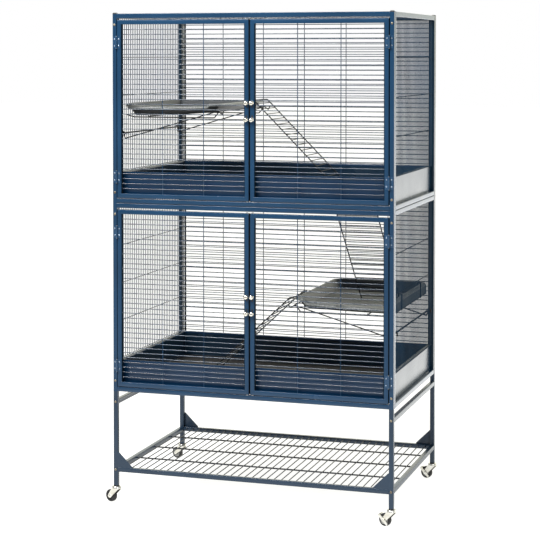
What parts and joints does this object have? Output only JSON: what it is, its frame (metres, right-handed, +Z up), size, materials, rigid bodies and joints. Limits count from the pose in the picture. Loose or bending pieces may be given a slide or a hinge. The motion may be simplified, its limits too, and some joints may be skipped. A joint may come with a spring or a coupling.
{
  "type": "ferret cage",
  "caption": "Tall tiered wire cage with double doors, deep trays, hanging shelves and ladders, on an open tubular stand with swivel casters and a storage grid.",
  "frame": {"origin": "on the floor, under the middle of the whole outline including the casters", "axes": "+X to the right seen from the front, -Y towards the front (doors), +Z up"},
  "size_m": [0.9923, 0.6633, 1.623],
  "materials": {
    "frame_blue": "satin powder coat",
    "tray_blue": "satin powder coat",
    "stand_grey_blue": "satin powder coat",
    "zinc": "zinc plated",
    "knob_metal": "polished",
    "black_plastic": "matt",
    "wheel_black": "matt",
    "connector": "matt",
    "shelf_plastic": "fine grain",
    "black_wire": "satin"
  },
  "bodies": {
    "cage": {"stand_front_frame": "stand_grey_blue", "stand_rear_frame": "stand_grey_blue", "stand_side_left": "stand_grey_blue", "stand_side_right": "stand_grey_blue", "stand_shelf_grid": "stand_grey_blue", "stand_bolts": "zinc", "leg_plugs": "black_plastic", "caster_stems": "zinc", "lower_front_frame": "frame_blue", "lower_rear_panel": "frame_blue", "lower_side_left": "frame_blue", "lower_side_right": "frame_blue", "upper_front_frame": "frame_blue", "upper_rear_panel": "frame_blue", "upper_side_left": "frame_blue", "upper_side_right": "frame_blue", "roof_panel": "frame_blue", "post_connectors": "connector", "post_caps": "frame_blue", "cage_bolts": "zinc", "lower_tray": "tray_blue", "upper_tray": "tray_blue", "lower_tray_runners": "tray_blue", "upper_tray_runners": "tray_blue", "hinge_fixed_leaves": "frame_blue", "hinge_pins": "zinc"},
    "caster_fl": {"caster_fork_fl": "zinc"},
    "wheel_fl": {"caster_wheel_fl": "wheel_black"},
    "caster_fr": {"caster_fork_fr": "zinc"},
    "wheel_fr": {"caster_wheel_fr": "wheel_black"},
    "caster_rl": {"caster_fork_rl": "zinc"},
    "wheel_rl": {"caster_wheel_rl": "wheel_black"},
    "caster_rr": {"caster_fork_rr": "zinc"},
    "wheel_rr": {"caster_wheel_rr": "wheel_black"},
    "brake_fr": {"brake_lever_fr": "black_plastic"},
    "brake_rr": {"brake_lever_rr": "black_plastic"},
    "door_lower_left": {"door_lower_left": "frame_blue", "hinge_leaves_lower_left": "frame_blue"},
    "bolt_lower_left_up": {"bolt_lower_left_up": "knob_metal"},
    "bolt_lower_left_down": {"bolt_lower_left_down": "knob_metal"},
    "door_lower_right": {"door_lower_right": "frame_blue", "hinge_leaves_lower_right": "frame_blue"},
    "bolt_lower_right_up": {"bolt_lower_right_up": "knob_metal"},
    "bolt_lower_right_down": {"bolt_lower_right_down": "knob_metal"},
    "door_upper_left": {"door_upper_left": "frame_blue", "hinge_leaves_upper_left": "frame_blue"},
    "bolt_upper_left_up": {"bolt_upper_left_up": "knob_metal"},
    "bolt_upper_left_down": {"bolt_upper_left_down": "knob_metal"},
    "door_upper_right": {"door_upper_right": "frame_blue", "hinge_leaves_upper_right": "frame_blue"},
    "bolt_upper_right_up": {"bolt_upper_right_up": "knob_metal"},
    "bolt_upper_right_down": {"bolt_upper_right_down": "knob_metal"},
    "shelf_lower": {"shelf_pan_lower": "shelf_plastic", "shelf_bracket_lower": "black_wire"},
    "shelf_upper": {"shelf_pan_upper": "shelf_plastic", "shelf_bracket_upper": "black_wire"},
    "ladder_lower": {"ladder_lower": "black_wire"},
    "ladder_upper": {"ladder_upper": "black_wire"},
    "ladder_middle": {"ladder_middle": "black_wire"}
  },
  "joints": [
    {"name": "swivel_fl", "type": "hinge", "parent": "cage", "child": "caster_fl", "pos_m": [-0.4525, -0.3075, 0.05], "axis": [0, 0, 1], "continuous": true},
    {"name": "roll_fl", "type": "hinge", "parent": "caster_fl", "child": "wheel_fl", "pos_m": [-0.47411, -0.29963, 0.02025], "axis": [-0.342, -0.9397, 0], "continuous": true},
    {"name": "swivel_fr", "type": "hinge", "parent": "cage", "child": "caster_fr", "pos_m": [0.4825, -0.3075, 0.05], "axis": [0, 0, 1], "continuous": true},
    {"name": "roll_fr", "type": "hinge", "parent": "caster_fr", "child": "wheel_fr", "pos_m": [0.46089, -0.29963, 0.02025], "axis": [-0.342, -0.9397, 0], "continuous": true},
    {"name": "swivel_rl", "type": "hinge", "parent": "cage", "child": "caster_rl", "pos_m": [-0.4525, 0.3075, 0.05], "axis": [0, 0, 1], "continuous": true},
    {"name": "roll_rl", "type": "hinge", "parent": "caster_rl", "child": "wheel_rl", "pos_m": [-0.47411, 0.31537, 0.02025], "axis": [-0.342, -0.9397, 0], "continuous": true},
    {"name": "swivel_rr", "type": "hinge", "parent": "cage", "child": "caster_rr", "pos_m": [0.4825, 0.3075, 0.05], "axis": [0, 0, 1], "continuous": true},
    {"name": "roll_rr", "type": "hinge", "parent": "caster_rr", "child": "wheel_rr", "pos_m": [0.46089, 0.31537, 0.02025], "axis": [-0.342, -0.9397, 0], "continuous": true},
    {"name": "brake_fr", "type": "hinge", "parent": "caster_fr", "child": "brake_fr", "pos_m": [0.46089, -0.29963, 0.02025], "axis": [-0.342, -0.9397, 0], "range_deg": [0, 22]},
    {"name": "brake_rr", "type": "hinge", "parent": "caster_rr", "child": "brake_rr", "pos_m": [0.46089, 0.31537, 0.02025], "axis": [-0.342, -0.9397, 0], "range_deg": [0, 22]},
    {"name": "door_lower_left_hinge", "type": "hinge", "parent": "cage", "child": "door_lower_left", "pos_m": [-0.44475, -0.3205, 0.684], "axis": [0, 0, -1], "range_deg": [0, 165]},
    {"name": "bolt_lower_left_up_slide", "type": "slide", "parent": "door_lower_left", "child": "bolt_lower_left_up", "axis": [0, 0, -1], "range_m": [0, 0.012], "stiffness_N_per_m": 150, "springref_m": -0.02},
    {"name": "bolt_lower_left_down_slide", "type": "slide", "parent": "door_lower_left", "child": "bolt_lower_left_down", "axis": [0, 0, 1], "range_m": [0, 0.012], "stiffness_N_per_m": 150, "springref_m": -0.02},
    {"name": "door_lower_right_hinge", "type": "hinge", "parent": "cage", "child": "door_lower_right", "pos_m": [0.47475, -0.3205, 0.684], "axis": [0, 0, 1], "range_deg": [0, 165]},
    {"name": "bolt_lower_right_up_slide", "type": "slide", "parent": "door_lower_right", "child": "bolt_lower_right_up", "axis": [0, 0, -1], "range_m": [0, 0.012], "stiffness_N_per_m": 150, "springref_m": -0.02},
    {"name": "bolt_lower_right_down_slide", "type": "slide", "parent": "door_lower_right", "child": "bolt_lower_right_down", "axis": [0, 0, 1], "range_m": [0, 0.012], "stiffness_N_per_m": 150, "springref_m": -0.02},
    {"name": "door_upper_left_hinge", "type": "hinge", "parent": "cage", "child": "door_upper_left", "pos_m": [-0.44475, -0.3205, 1.308], "axis": [0, 0, -1], "range_deg": [0, 165]},
    {"name": "bolt_upper_left_up_slide", "type": "slide", "parent": "door_upper_left", "child": "bolt_upper_left_up", "axis": [0, 0, -1], "range_m": [0, 0.012], "stiffness_N_per_m": 150, "springref_m": -0.02},
    {"name": "bolt_upper_left_down_slide", "type": "slide", "parent": "door_upper_left", "child": "bolt_upper_left_down", "axis": [0, 0, 1], "range_m": [0, 0.012], "stiffness_N_per_m": 150, "springref_m": -0.02},
    {"name": "door_upper_right_hinge", "type": "hinge", "parent": "cage", "child": "door_upper_right", "pos_m": [0.47475, -0.3205, 1.308], "axis": [0, 0, 1], "range_deg": [0, 165]},
    {"name": "bolt_upper_right_up_slide", "type": "slide", "parent": "door_upper_right", "child": "bolt_upper_right_up", "axis": [0, 0, -1], "range_m": [0, 0.012], "stiffness_N_per_m": 150, "springref_m": -0.02},
    {"name": "bolt_upper_right_down_slide", "type": "slide", "parent": "door_upper_right", "child": "bolt_upper_right_down", "axis": [0, 0, 1], "range_m": [0, 0.012], "stiffness_N_per_m": 150, "springref_m": -0.02},
    {"name": "shelf_lower_lift", "type": "slide", "parent": "cage", "child": "shelf_lower", "axis": [0, 0, 1], "range_m": [0, 0.02]},
    {"name": "shelf_upper_lift", "type": "slide", "parent": "cage", "child": "shelf_upper", "axis": [0, 0, 1], "range_m": [0, 0.02]},
    {"name": "ladder_lower_swing", "type": "hinge", "parent": "shelf_lower", "child": "ladder_lower", "pos_m": [0.146, 0, 0.70225], "axis": [0, 1, 0], "range_deg": [0, 60]},
    {"name": "ladder_upper_swing", "type": "hinge", "parent": "shelf_upper", "child": "ladder_upper", "pos_m": [-0.116, 0, 1.32625], "axis": [0, -1, 0], "range_deg": [0, 60]},
    {"name": "ladder_middle_swing", "type": "hinge", "parent": "shelf_lower", "child": "ladder_middle", "pos_m": [0.295, -0.2875, 1.01645], "axis": [1, 0, 0], "range_deg": [0, 12]}
  ]
}
